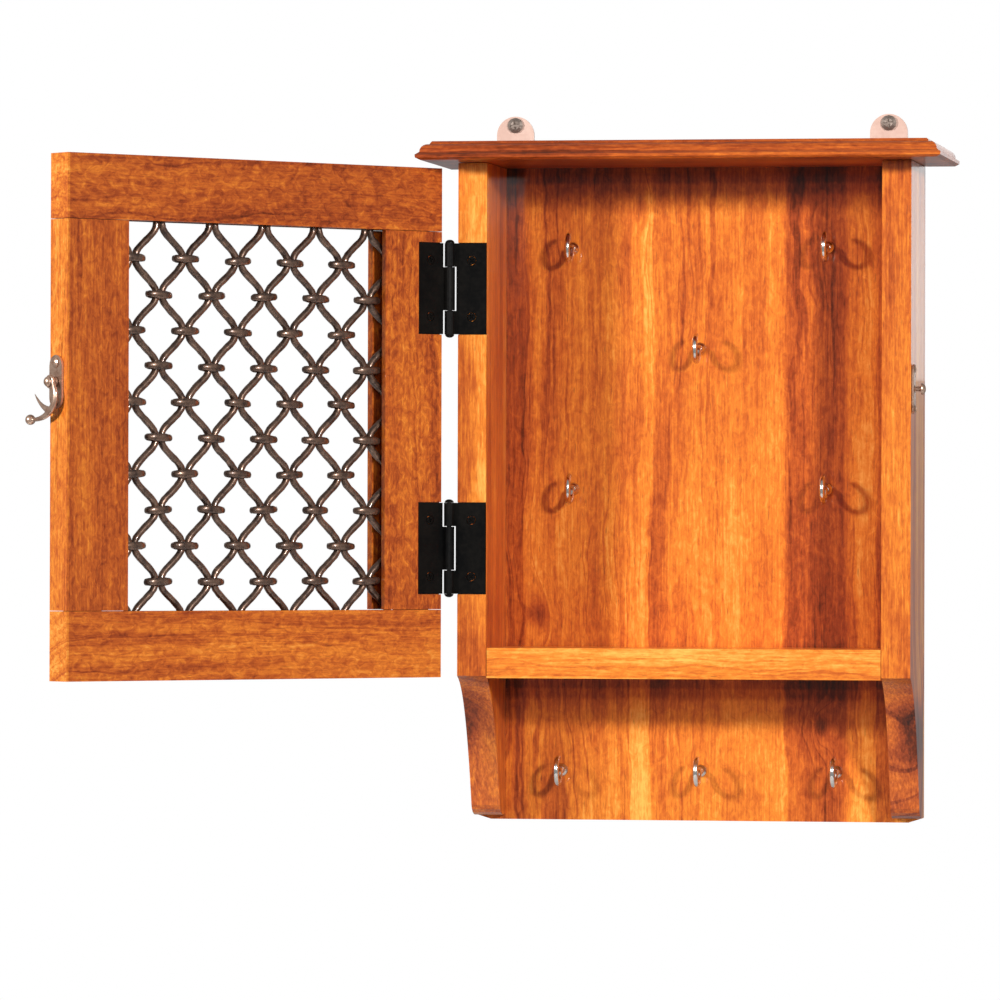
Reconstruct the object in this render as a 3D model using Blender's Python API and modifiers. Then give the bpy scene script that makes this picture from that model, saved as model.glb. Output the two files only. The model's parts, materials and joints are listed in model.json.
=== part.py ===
"""Wall key cabinet: a moulded hardwood case with cup hooks and a hinged door that holds an iron lattice.

Frame: X to the right, Y into the wall, Z up, in metres. The origin is the centre of the back panel's
rear face, the face that lies on the wall. The door is modelled closed, in the frame of its hinge axis,
and an empty then swings it open.
"""
import math

import bmesh
import bpy
from mathutils import Matrix, Vector

MM = 0.001
GAP = 0.3 * MM                      # clearance between pieces that rest on each other

# Case
BODY_WIDTH = 250 * MM
BODY_DEPTH = 72 * MM                # from the wall to the front edges of the sides
BOARD = 16 * MM                     # thickness of the side boards
BACK = 6 * MM                       # thickness of the back panel
BOX_TOP = 182 * MM                  # underside of the top board
STEP_Z = -100 * MM                  # where the sides' straight front edges end
WING_BOTTOM = -178.5 * MM           # bottom of the side boards
BACK_BOTTOM = -181 * MM             # bottom of the back panel
BACK_CHAMFER = 8 * MM
RABBET = 3 * MM                     # how far the back panel runs up into the top board
SHELF_TOP = -84.6 * MM
SHELF_BOTTOM = -101.2 * MM
SHELF_SETBACK = 0.4 * MM            # shelf's front edge behind the sides'
SIDE_X = BODY_WIDTH / 2
FRONT_Y = -BODY_DEPTH
PANEL_Y = -BACK                     # front face of the back panel

# Wing outline: how far the front edge has gone back, against the drop below the step
WING_CURVE = ((0, 0), (15 * MM, 4.6 * MM), (30.8 * MM, 20.4 * MM), (47 * MM, 70 * MM))
WING_STEPS = 12
WING_TOE = (13 * MM, 8.5 * MM)      # depth and height of the rounded toe

# Top board
TOP_THICKNESS = 10.5 * MM
TOP_SIDE_OVERHANG = 19 * MM
TOP_FRONT_OVERHANG = 31 * MM
OVOLO_STEPS = 5

# Door, closed, measured from the hinge axis
HINGE_AXIS_OUT = 4.4 * MM           # axis to the left of the side board's outer face
DOOR_GAP = 2.8 * MM                 # between the door's inner face and the case's front edges
DOOR_WIDTH = 248.5 * MM
DOOR_THICKNESS = 16 * MM
DOOR_BOTTOM = -100.8 * MM
DOOR_TOP = 178.6 * MM
STILE_HINGE = 38.7 * MM
STILE_LATCH = 39.3 * MM
RAIL_BOTTOM = 37.2 * MM
RAIL_TOP = 34.8 * MM
DOOR_OPEN = math.radians(132.5)     # the door's swing from closed to the modelled pose
TENON_LENGTH = 14 * MM               # stile's tenon into each rail
TENON_DEPTHS = (5 * MM, 10.5 * MM)   # tenon's faces, from the door's inner face
TENON_SHOULDER = 5 * MM
GROOVE_DEPTH = 12.5 * MM            # how far the lattice's groove runs into the frame
GROOVE_FRONT = 3.2 * MM             # groove walls, measured from the door's inner face
GROOVE_REAR = 11.8 * MM

# Lattice
WIRE_RADIUS = 1.9 * MM
WIRE_CLEAR = 2.05 * MM               # wire centre from the node's centre
COLUMN_PITCH = 17.35 * MM
FIRST_COLUMN = 7.3 * MM             # from the opening's free side to the first column of nodes
ROW_PITCH = 19.15 * MM
FIRST_ROW_DROP = 0.3 * MM
ROW_COUNT = 11
FIRST_CLIP_ROW = 1                                  # the crossings under the top rail have no clips
WIRE_COUNT = 11
WIRE_DEPTH = 7.5 * MM               # wire centre from the door's inner face
WIRE_END = 11 * MM                  # how far a wire runs into the groove
CLIP_LENGTH = 18 * MM
CLIP_HEIGHT = 4.2 * MM
CLIP_THICK = 1.6 * MM
CLIP_RIVET = 0.9 * MM               # radius of the rivet between a clip and its wire

# Butt hinges
HINGE_CENTRES = {"upper": 112.6 * MM, "lower": -30 * MM}
HINGE_LENGTH = 50 * MM
KNUCKLE_RADIUS = DOOR_GAP / 2 + 1.5 * MM
LEAF_THICK = 1.5 * MM
LEAF_WIDTH = 20 * MM
PIN_RADIUS = 1.25 * MM
KNUCKLE_SPLIT = 12 * MM             # half length of the middle knuckle
HINGE_SCREW_X = 12 * MM
HINGE_SCREW_Z = 15.5 * MM
LEAF_SCREW_HOLE = 2.6 * MM
LEAF_SCREW = (2.2 * MM, 1.5 * MM, 1.2 * MM, 10 * MM)    # head radius and height, shank radius and length
LEAF_PILOT = (1.6 * MM, 12 * MM)    # radius and twice the depth of a hinge screw's hole in the wood
LEAF_SCREW_SINK = 0.1 * MM          # screw head's face behind the leaf's

# Swan-hook latch on the door's free edge, and its peg on the case
LATCH_Z = 57.5 * MM
LATCH_DEPTH = 9 * MM                             # pivot from the door's inner face
LATCH_PLATE = (11.5 * MM, 28.5 * MM, 1.2 * MM)   # width, height, thickness
LATCH_SCREW_Z = 10 * MM
LATCH_SCREW = (2.8 * MM, 1.4 * MM, 1.0 * MM, 9 * MM)    # head radius and height, shank radius and length
LATCH_PLATE_HOLE = 1.6 * MM
PLATE_PILOT = (1.3 * MM, 22 * MM)   # radius and twice the depth of a plate screw's hole in the wood
PLATE_SCREW_STAND = 0.2 * MM        # under a plate screw's head
HOOK_OFFSET = 5.0 * MM                           # middle of the hook from the door's edge face
HOOK_FLATNESS = 0.7
HOOK_EYE_RADIUS = 3.4 * MM
HOOK_BAR = 1.4 * MM                              # bar radius that the widths below multiply
HOOK_EYE_THICK = 2.2 * MM
HOOK_BALL_RADIUS = 2.9 * MM
HOOK_BALL = (18.2 * MM, -19.9 * MM)              # outward and up from the pivot, like the bar's points, in mm
HOOK_NECK = ((-1.2, 1.8), (-2.8, -1.4), (-4.5, -5.8), (-4.0, -10.6), (-0.8, -14.9), (4.2, -17.9), (9.6, -19.4),
             (14.2, -19.9), (17.0, -20.0))
HOOK_NECK_WIDTHS = (0.9, 1.2, 1.35, 1.4, 1.45, 1.25, 0.95, 0.8, 0.75)
HOOK_BEAK = ((0.6, -15.4), (4.4, -14.2), (8.2, -12.0), (11.6, -9.2), (14.2, -6.4))
HOOK_BEAK_WIDTHS = (1.3, 1.1, 0.8, 0.5, 0.25)
PIVOT_RADIUS = 1.5 * MM
PEG_REACH = 18.8 * MM                            # pivot to peg when the door is shut
CATCH_PLATE = (9 * MM, 27 * MM, 1.0 * MM)
CATCH_SCREW_Z = 11 * MM
CATCH_SCREW = (2.2 * MM, 0.7 * MM, 1.0 * MM, 9 * MM)
CATCH_PLATE_HOLE = 1.5 * MM
PEG_RADIUS = 1.35 * MM

# Cup hooks: x and z of each ring's centre
CUP_HOOKS = (
    ("cup_hook_upper_left", -71.5 * MM, 137 * MM),
    ("cup_hook_upper_right", 71.5 * MM, 137 * MM),
    ("cup_hook_centre", 0, 81 * MM),
    ("cup_hook_lower_left", -71 * MM, 3 * MM),
    ("cup_hook_lower_right", 71 * MM, 3 * MM),
    ("cup_hook_bottom_left", -77 * MM, -153.5 * MM),
    ("cup_hook_bottom_centre", 1 * MM, -153.5 * MM),
    ("cup_hook_bottom_right", 77 * MM, -153.5 * MM),
)
RING_RADIUS = 7.3 * MM
RING_WIRE = 1.5 * MM
RING_SWEEP = math.radians(272)
RING_STEPS = 15
COLLAR_RADIUS = 3.6 * MM
COLLAR_THICK = 1.6 * MM
COLLAR_STAND = 3.2 * MM             # collar's front face from the ring's nearest wire surface
THREAD_LENGTH = 4.5 * MM
THREAD_RADIUS = 1.1 * MM

# Hanging tabs
TAB_X = {"left": -104.8 * MM, "right": 104.8 * MM}
TAB_RADIUS = 10.5 * MM
TAB_CENTRE_Z = 200.8 * MM
TAB_TAIL = 30 * MM                  # centre of the disc to the lower end
TAB_THICK = 2.4 * MM
TAB_HOLE = 2.6 * MM
TAB_SCREW_HEAD = 4.3 * MM
TAB_SCREW_RISE = 5.5 * MM           # screw above the disc's centre


# ---------------------------------------------------------------- scene and materials

def clear_scene():
    for obj in list(bpy.data.objects):
        bpy.data.objects.remove(obj, do_unlink=True)


def make_material(name, colour, roughness, metallic):
    material = bpy.data.materials.new(name)
    material.use_nodes = True
    shader = material.node_tree.nodes["Principled BSDF"]
    shader.inputs["Base Color"].default_value = (*colour, 1.0)
    shader.inputs["Roughness"].default_value = roughness
    shader.inputs["Metallic"].default_value = metallic
    return material


FINISHES = {
    "wood": ((0.62, 0.22, 0.05), 0.25, 0.0),
    "wood_dark": ((0.40, 0.12, 0.03), 0.25, 0.0),
    "iron": ((0.09, 0.055, 0.035), 0.4, 0.8),
    "black_steel": ((0.015, 0.014, 0.014), 0.35, 0.7),
    "antique": ((0.38, 0.29, 0.20), 0.35, 1.0),
    "nickel": ((0.80, 0.78, 0.74), 0.2, 1.0),
    "tab": ((0.74, 0.55, 0.46), 0.45, 0.0),
}


def finish_of(part_name):
    """The finish that a part's name stands for."""
    rules = (
        (("top_board", "back_panel"), "wood_dark"),
        (("side", "bottom_shelf", "door_rail", "door_stile"), "wood"),
        (("lattice",), "iron"),
        (("hinge",), "black_steel"),
        (("latch", "catch"), "antique"),
        (("hanging_tab",), "tab"),
    )
    for prefixes, finish in rules:
        if part_name.startswith(prefixes):
            return finish
    return "nickel"


def name_part(obj, name, parent=None):
    """Names a finished solid, gives it its material, links it and hangs it on its parent."""
    obj.name = name
    obj.data.name = name
    colour, roughness, metallic = FINISHES[finish_of(name)]
    obj.data.materials.clear()
    obj.data.materials.append(make_material(name, colour, roughness, metallic))
    if parent is not None:
        obj.parent = parent
    return obj


# ---------------------------------------------------------------- building blocks

def object_from_mesh(mesh, matrix=None):
    if matrix is not None:
        mesh.transform(matrix)
    obj = bpy.data.objects.new("solid", mesh)
    PARTS.objects.link(obj)
    return obj


def box(low, high):
    """A block between two corners."""
    mesh = bpy.data.meshes.new("solid")
    shape = bmesh.new()
    size = Vector(high) - Vector(low)
    middle = (Vector(high) + Vector(low)) / 2
    placed = Matrix.Translation(middle) @ Matrix.Diagonal((*size, 1.0))
    bmesh.ops.create_cube(shape, size=1.0, matrix=placed)
    shape.to_mesh(mesh)
    shape.free()
    return object_from_mesh(mesh)


def rod(centre, axis, radius, length, sides=16):
    """A cylinder, or a cone, centred on a point and lying along an axis."""
    mesh = bpy.data.meshes.new("solid")
    shape = bmesh.new()
    turn = Vector((0, 0, 1)).rotation_difference(Vector(axis)).to_matrix().to_4x4()
    bmesh.ops.create_cone(
        shape, cap_ends=True, segments=sides, radius1=radius,
        radius2=radius,
        depth=length, matrix=Matrix.Translation(Vector(centre)) @ turn)
    shape.to_mesh(mesh)
    shape.free()
    return object_from_mesh(mesh)


def ball(centre, radius, segments=12):
    mesh = bpy.data.meshes.new("solid")
    shape = bmesh.new()
    bmesh.ops.create_uvsphere(shape, u_segments=segments, v_segments=segments // 2 + 2,
                              radius=radius, matrix=Matrix.Translation(Vector(centre)))
    shape.to_mesh(mesh)
    shape.free()
    return object_from_mesh(mesh)


def solid_from_curve(curve, matrix=None):
    """Turns a curve's evaluated shape into a closed mesh and removes the curve."""
    obj = bpy.data.objects.new("curve", curve)
    PARTS.objects.link(obj)
    depsgraph = bpy.context.evaluated_depsgraph_get()
    mesh = bpy.data.meshes.new_from_object(obj.evaluated_get(depsgraph))
    bpy.data.objects.remove(obj, do_unlink=True)
    bpy.data.curves.remove(curve)
    shape = bmesh.new()
    shape.from_mesh(mesh)
    bmesh.ops.remove_doubles(shape, verts=shape.verts, dist=1e-6)
    bmesh.ops.recalc_face_normals(shape, faces=shape.faces)
    shape.to_mesh(mesh)
    shape.free()
    return object_from_mesh(mesh, matrix)


def plate(outline, thickness, matrix):
    """A flat outline in a local XY plane, given a thickness centred on that plane."""
    curve = bpy.data.curves.new("outline", "CURVE")
    curve.dimensions = "2D"
    curve.fill_mode = "BOTH"
    curve.extrude = thickness / 2
    spline = curve.splines.new("POLY")
    spline.points.add(len(outline) - 1)
    for point, (x, y) in zip(spline.points, outline):
        point.co = (x, y, 0, 1)
    spline.use_cyclic_u = True
    return solid_from_curve(curve, matrix)


def wire(points, radius, widths=None, resolution=1):
    """A round bar along a list of points; widths scale its radius point by point."""
    curve = bpy.data.curves.new("wire", "CURVE")
    curve.dimensions = "3D"
    curve.bevel_depth = radius
    curve.bevel_resolution = resolution
    curve.use_fill_caps = True
    spline = curve.splines.new("POLY")
    spline.points.add(len(points) - 1)
    for index, (point, place) in enumerate(zip(spline.points, points)):
        point.co = (*place, 1)
        point.radius = 1.0 if widths is None else widths[index]
    return solid_from_curve(curve)


def turned(profile, matrix, steps=16):
    """A turned piece: the profile's (radius, height) points run from the top down its outer side."""
    mesh = bpy.data.meshes.new("solid")
    shape = bmesh.new()
    corners = [shape.verts.new((radius, 0, height)) for radius, height in profile]
    for first, second in zip(corners, corners[1:]):
        shape.edges.new((first, second))
    shape.to_mesh(mesh)
    shape.free()
    obj = object_from_mesh(mesh)
    screw = obj.modifiers.new("turn", "SCREW")
    screw.steps = screw.render_steps = steps
    screw.use_merge_vertices = True
    screw.merge_threshold = 1e-5
    return bake(obj, matrix)


def bake(obj, matrix=None):
    """Applies an object's modifiers."""
    depsgraph = bpy.context.evaluated_depsgraph_get()
    mesh = bpy.data.meshes.new_from_object(obj.evaluated_get(depsgraph))
    bpy.data.objects.remove(obj, do_unlink=True)
    return object_from_mesh(mesh, matrix)


def combine(base, others, operation):
    """Joins solids to a base, or cuts them out of it, and removes them."""
    for other in others:
        modifier = base.modifiers.new("combine", "BOOLEAN")
        modifier.operation = operation
        modifier.object = other
    result = bake(base)
    for other in others:
        bpy.data.objects.remove(other, do_unlink=True)
    return result


def join(base, *others):
    return combine(base, others, "UNION")


def cut(base, *others):
    return combine(base, others, "DIFFERENCE")


def bezier(controls, steps):
    """Points along a cubic curve, ends included."""
    first, second, third, last = (Vector(control) for control in controls)
    points = []
    for index in range(steps + 1):
        t = index / steps
        s = 1 - t
        points.append(first * s ** 3 + second * 3 * s * s * t + third * 3 * s * t * t + last * t ** 3)
    return points


def arc(centre, radius, start, end, steps):
    """Points on an arc in a plane, angles in degrees."""
    points = []
    for index in range(steps + 1):
        angle = math.radians(start + (end - start) * index / steps)
        points.append(Vector((centre[0] + radius * math.cos(angle),
                              centre[1] + radius * math.sin(angle))))
    return points


def facing(origin, axis):
    """A frame whose local Z lies along an axis."""
    turn = Vector((0, 0, 1)).rotation_difference(Vector(axis)).to_matrix().to_4x4()
    return Matrix.Translation(Vector(origin)) @ turn


def screw_solid(origin, axis, head_radius, head_height, shank_radius, length, countersunk, slots):
    """A wood screw whose head's seat is at the origin and whose head points along the axis."""
    if countersunk:
        head = [(0, 0), (head_radius, 0), (shank_radius, -head_height)]
    else:
        head = [(0, head_height), (0.55 * head_radius, 0.85 * head_height),
                (head_radius, 0.3 * head_height), (head_radius, 0), (shank_radius, 0)]
    profile = head + [(shank_radius, -0.75 * length), (0.3 * shank_radius, -length), (0, -length)]
    solid = turned(profile, facing(origin, axis), steps=12)
    top = 0 if countersunk else head_height
    depth = 0.5 * head_height
    for angle in slots:
        placed = facing(origin, axis) @ Matrix.Rotation(math.radians(angle), 4, "Z")
        reach, half_width = 0.62 * head_radius, 0.13 * head_radius
        slot = box((-reach, -half_width, top - depth), (reach, half_width, top + depth))
        slot.data.transform(placed)
        solid = cut(solid, slot)
    return solid


# ---------------------------------------------------------------- case

def hinge_cutters(face_y, direction, z_centre, axis_x):
    """The mortise for one leaf and the pilot holes of its screws."""
    half = HINGE_LENGTH / 2 + GAP
    depth = LEAF_THICK + GAP
    low_y, high_y = sorted((face_y - direction * 5 * MM, face_y + direction * depth))
    cutters = [box((axis_x - 8 * MM, low_y, z_centre - half),
                   (axis_x + LEAF_WIDTH + GAP, high_y, z_centre + half))]
    for side in (-1, 1):
        middle = (axis_x + HINGE_SCREW_X, face_y + direction * 7 * MM, z_centre + side * HINGE_SCREW_Z)
        cutters.append(rod(middle, (0, 1, 0), *LEAF_PILOT, sides=8))
    return cutters


def side_outline():
    """Depth and height of a side board's outline, front edge first, going down."""
    points = [Vector((FRONT_Y, BOX_TOP - GAP))]
    for back, drop in bezier(WING_CURVE, WING_STEPS):
        points.append(Vector((FRONT_Y + back, STEP_Z - drop)))
    toe = Vector((points[-1].x + WING_TOE[0], WING_BOTTOM + WING_TOE[1]))
    for unit in arc((0, 0), 1, 180, 270, 5)[1:]:
        points.append(toe + Vector((unit.x * WING_TOE[0], unit.y * WING_TOE[1])))
    rear = PANEL_Y - GAP
    points += [Vector((rear, WING_BOTTOM)), Vector((rear, BOX_TOP - GAP))]
    return points


def build_sides():
    across = Matrix(((0, 0, 1, 0), (1, 0, 0, 0), (0, 1, 0, 0), (0, 0, 0, 1)))
    for name, direction in (("side_left", -1), ("side_right", 1)):
        centre_x = direction * (SIDE_X - BOARD / 2)
        solid = plate(side_outline(), BOARD, Matrix.Translation((centre_x, 0, 0)) @ across)
        if direction < 0:
            cutters = []
            for z_centre in HINGE_CENTRES.values():
                cutters += hinge_cutters(FRONT_Y, 1, z_centre, AXIS.x)
            solid = cut(solid, *cutters)
        else:
            holes = []
            for drop in (-CATCH_SCREW_Z, CATCH_SCREW_Z):
                holes.append(rod((SIDE_X, PEG_Y, LATCH_Z + drop), (1, 0, 0), *PLATE_PILOT, sides=8))
            solid = cut(solid, *holes)
        name_part(solid, name)


def build_back_panel():
    half = SIDE_X
    top = BOX_TOP + RABBET - GAP
    outline = [(-half, top), (-half, WING_BOTTOM), (-half + BACK_CHAMFER, BACK_BOTTOM),
               (half - BACK_CHAMFER, BACK_BOTTOM), (half, WING_BOTTOM), (half, top)]
    upright = Matrix(((1, 0, 0, 0), (0, 0, -1, -BACK / 2), (0, 1, 0, 0), (0, 0, 0, 1)))
    solid = plate(outline, BACK, upright)
    cutters = [tab_recess(x) for x in TAB_X.values()]
    for _, x, z in CUP_HOOKS:
        cutters.append(rod((x, PANEL_Y, z), (0, 1, 0), THREAD_RADIUS + GAP, 2 * (THREAD_LENGTH + GAP), sides=8))
    name_part(cut(solid, *cutters), "back_panel")


def build_shelf():
    inner = SIDE_X - BOARD - GAP
    name_part(box((-inner, FRONT_Y + SHELF_SETBACK, SHELF_BOTTOM), (inner, PANEL_Y - GAP, SHELF_TOP)),
              "bottom_shelf")


def top_profile():
    """How far the moulding stands in from its widest line, against the height above its underside."""
    points = [(2.6 * MM, 0), (0.2 * MM, 1.2 * MM), (0, 2.8 * MM), (2.0 * MM, 4.2 * MM)]
    for inset, height in arc((6.6 * MM, 4.4 * MM), 4.4 * MM, 180, 90, OVOLO_STEPS):
        points.append((inset, height))
    points += [(7.2 * MM, 8.95 * MM), (7.6 * MM, 9.7 * MM), (8.3 * MM, TOP_THICKNESS)]
    return points


def build_top_board():
    """Rings of the moulding, stacked from the underside up; the rear edge stays straight."""
    half = SIDE_X + TOP_SIDE_OVERHANG
    front = FRONT_Y - TOP_FRONT_OVERHANG
    shape = bmesh.new()
    rings = []
    for inset, height in top_profile():
        z = BOX_TOP + height
        corners = ((-half + inset, front + inset), (half - inset, front + inset),
                   (half - inset, 0), (-half + inset, 0))
        rings.append([shape.verts.new((x, y, z)) for x, y in corners])
    for lower, upper in zip(rings, rings[1:]):
        for index in range(4):
            following = (index + 1) % 4
            shape.faces.new((lower[index], lower[following], upper[following], upper[index]))
    shape.faces.new(reversed(rings[0]))
    shape.faces.new(rings[-1])
    mesh = bpy.data.meshes.new("solid")
    shape.to_mesh(mesh)
    shape.free()
    reach, depth = TAB_RADIUS + GAP, TAB_THICK + GAP
    notches = [box((x - reach, -depth, BOX_TOP - TOP_THICKNESS), (x + reach, depth, BOX_TOP + 2 * TOP_THICKNESS))
               for x in TAB_X.values()]
    rabbet = box((-SIDE_X - GAP, PANEL_Y - GAP, BOX_TOP - TOP_THICKNESS), (SIDE_X + GAP, BACK, BOX_TOP + RABBET))
    name_part(cut(object_from_mesh(mesh), rabbet, *notches), "top_board")


# ---------------------------------------------------------------- door

def door_extent():
    """Low and high x of the closed door and of its opening, from the hinge axis."""
    low = HINGE_AXIS_OUT
    high = low + DOOR_WIDTH
    return low, low + STILE_HINGE, high - STILE_LATCH, high


def door_y(depth):
    """The y that lies a depth behind the closed door's inner face."""
    return -DOOR_GAP / 2 - depth


def build_door_frame(axis_empty):
    low, opening_low, opening_high, high = door_extent()
    opening_bottom = DOOR_BOTTOM + RAIL_BOTTOM
    opening_top = DOOR_TOP - RAIL_TOP
    outer, inner = door_y(DOOR_THICKNESS), door_y(0)
    members = {
        "door_rail_top": ((low, opening_top + GAP / 2), (high, DOOR_TOP)),
        "door_rail_bottom": ((low, DOOR_BOTTOM), (high, opening_bottom - GAP / 2)),
        "door_stile_hinge": ((low, opening_bottom + GAP / 2), (opening_low, opening_top - GAP / 2)),
        "door_stile_latch": ((opening_high, opening_bottom + GAP / 2), (high, opening_top - GAP / 2)),
    }
    spans = {"door_stile_hinge": (low + TENON_SHOULDER, opening_low - GROOVE_DEPTH - MM),
             "door_stile_latch": (opening_high + GROOVE_DEPTH + MM, high - TENON_SHOULDER)}
    for name, ((x0, z0), (x1, z1)) in members.items():
        solid = box((x0, outer, z0), (x1, inner, z1))
        cutters = [box((opening_low - GROOVE_DEPTH, door_y(GROOVE_REAR), opening_bottom - GROOVE_DEPTH),
                       (opening_high + GROOVE_DEPTH, door_y(GROOVE_FRONT), opening_top + GROOVE_DEPTH))]
        if name in spans:
            solid = join(solid, tenon(spans[name], z0 - TENON_LENGTH, z1 + TENON_LENGTH, 0))
        else:
            middle_z = opening_top if name == "door_rail_top" else opening_bottom
            reach = TENON_LENGTH + GAP
            cutters += [tenon(span, middle_z - reach, middle_z + reach, GAP) for span in spans.values()]
        if name == "door_stile_hinge":
            for z_centre in HINGE_CENTRES.values():
                cutters += hinge_cutters(inner, -1, z_centre, 0)
        if name == "door_stile_latch":
            for side in (-1, 1):
                cutters.append(rod((high, door_y(LATCH_DEPTH), LATCH_Z + side * LATCH_SCREW_Z),
                                   (1, 0, 0), *PLATE_PILOT, sides=8))
        name_part(cut(solid, *cutters), name, axis_empty)


def tenon(span, z0, z1, grow):
    """The block of a stile's two tenons, or with some growth the mortise for one."""
    near, far = TENON_DEPTHS
    return box((span[0] - grow, door_y(far) - grow, z0), (span[1] + grow, door_y(near) + grow, z1))


def column_x(column):
    """X of a column of lattice nodes, counted from the door's free side."""
    return door_extent()[2] - FIRST_COLUMN - COLUMN_PITCH * (column - 1)


def row_z(row):
    return DOOR_TOP - RAIL_TOP - FIRST_ROW_DROP - ROW_PITCH * row


def wire_x(index, row):
    """X of a wire where it passes a row: beside the node that it shares there."""
    if (index - row) % 2 == 0:
        return column_x(index) - WIRE_CLEAR
    return column_x(index + 1) + WIRE_CLEAR


def wire_path(index):
    """A wire's wave: upright through each node, slanting from one node to the next."""
    top = DOOR_TOP - RAIL_TOP + WIRE_END
    bottom = DOOR_BOTTOM + RAIL_BOTTOM - WIRE_END
    y = door_y(WIRE_DEPTH)
    points = []
    for row in range(-1, ROW_COUNT + 1):
        start_x, end_x = wire_x(index, row), wire_x(index, row + 1)
        for part, shift in ((0.13, 0.03), (0.87, 0.97)):
            z = row_z(row) - part * ROW_PITCH
            points.append(Vector((start_x + shift * (end_x - start_x), y, z)))
    kept = [point for point in points if bottom < point.z < top]
    for limit, inside, outside in ((top, kept[0], points[points.index(kept[0]) - 1]),
                                   (bottom, kept[-1], points[points.index(kept[-1]) + 1])):
        end = inside.lerp(outside, (limit - inside.z) / (outside.z - inside.z))
        kept.insert(0 if limit == top else len(kept), end)
    return kept


def clip(index, row):
    """The clip on the node that a wire shares with the wire before it: a bar, and the rivet that holds it."""
    x, z = column_x(index), row_z(row)
    wire_y = door_y(WIRE_DEPTH)
    bar_y = wire_y + WIRE_RADIUS + GAP
    half = Vector((CLIP_LENGTH / 2, 0, CLIP_HEIGHT / 2))
    bar = box(Vector((x, bar_y, z)) - half, Vector((x, bar_y + CLIP_THICK, z)) + half)
    rivet_low, rivet_high = wire_y - CLIP_RIVET, bar_y + CLIP_THICK / 2
    rivet = rod((x - WIRE_CLEAR, (rivet_low + rivet_high) / 2, z + CLIP_RIVET / 3), (0, 1, 0), CLIP_RIVET,
                rivet_high - rivet_low, sides=8)
    return [bar, rivet]


def build_lattice(axis_empty):
    for index in range(WIRE_COUNT):
        solid = wire(wire_path(index), WIRE_RADIUS)
        for row in range(FIRST_CLIP_ROW, ROW_COUNT):
            if index > 0 and (index - row) % 2 == 0:
                solid = join(solid, *clip(index, row))
        name_part(solid, f"lattice_wire_{index + 1:02d}", axis_empty)


# ---------------------------------------------------------------- hinges

def leaf_solid(direction, z_centre, knuckles):
    """A hinge leaf about the axis, with its knuckles, pin bore and screw holes."""
    half = HINGE_LENGTH / 2
    near, far = sorted((direction * (KNUCKLE_RADIUS - LEAF_THICK), direction * KNUCKLE_RADIUS))
    root = KNUCKLE_RADIUS + 0.5 * MM
    pieces = []
    for z0, z1 in knuckles:
        pieces.append(box((0, near, z_centre + z0), (root + MM, far, z_centre + z1)))
        pieces.append(rod((0, 0, z_centre + (z0 + z1) / 2), (0, 0, 1), KNUCKLE_RADIUS, z1 - z0))
    solid = join(box((root, near, z_centre - half), (LEAF_WIDTH, far, z_centre + half)), *pieces)
    cutters = [rod((0, 0, z_centre), (0, 0, 1), PIN_RADIUS + GAP, 2 * HINGE_LENGTH, sides=12)]
    for side in (-1, 1):
        place = (HINGE_SCREW_X, (near + far) / 2, z_centre + side * HINGE_SCREW_Z)
        cutters.append(rod(place, (0, 1, 0), LEAF_SCREW_HOLE, 4 * LEAF_THICK, sides=12))
    return cut(solid, *cutters)


def build_hinges(axis_empty):
    half = HINGE_LENGTH / 2
    outer_knuckles = ((-half, -KNUCKLE_SPLIT - GAP / 2), (KNUCKLE_SPLIT + GAP / 2, half))
    middle_knuckle = ((-KNUCKLE_SPLIT + GAP / 2, KNUCKLE_SPLIT - GAP / 2),)
    for level, z_centre in HINGE_CENTRES.items():
        case_leaf = leaf_solid(1, z_centre, outer_knuckles)
        case_leaf.data.transform(Matrix.Translation(AXIS))
        name_part(case_leaf, f"hinge_{level}_case_leaf")
        name_part(leaf_solid(-1, z_centre, middle_knuckle), f"hinge_{level}_door_leaf", axis_empty)
        name_part(rod((AXIS.x, AXIS.y, z_centre), (0, 0, 1), PIN_RADIUS, HINGE_LENGTH + 0.6 * MM, sides=12),
                  f"hinge_{level}_pin")
        for side, word in ((1, "top"), (-1, "bottom")):
            z = z_centre + side * HINGE_SCREW_Z
            face = KNUCKLE_RADIUS - LEAF_THICK
            seat = Vector((HINGE_SCREW_X, face + LEAF_SCREW_SINK, z)) + AXIS
            name_part(screw_solid(seat, (0, -1, 0), *LEAF_SCREW, True, (45, 135)),
                      f"hinge_{level}_case_screw_{word}")
            seat = Vector((HINGE_SCREW_X, -face - LEAF_SCREW_SINK, z))
            name_part(screw_solid(seat, (0, 1, 0), *LEAF_SCREW, True, (20, 110)),
                      f"hinge_{level}_door_screw_{word}", axis_empty)


# ---------------------------------------------------------------- latch

def backing_plate(width, height, thickness, matrix, hole_z, hole_radius):
    """A plate with rounded ends and two screw holes; local X is its width, local Y its height."""
    straight = (height - width) / 2
    outline = arc((0, straight), width / 2, 0, 180, 8) + arc((0, -straight), width / 2, 180, 360, 8)
    solid = plate([(p.x, p.y) for p in outline], thickness, matrix)
    holes = []
    for side in (-1, 1):
        place = matrix @ Vector((0, side * hole_z, 0))
        holes.append(rod(place, matrix.to_3x3() @ Vector((0, 0, 1)), hole_radius, 4 * thickness, sides=10))
    return cut(solid, *holes)


def edge_frame(x, y, z):
    """A frame on an upright face that looks along +X: local X is -Y, local Y is Z, local Z is X."""
    return Matrix(((0, 0, 1, x), (-1, 0, 0, y), (0, 1, 0, z), (0, 0, 0, 1)))


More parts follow.
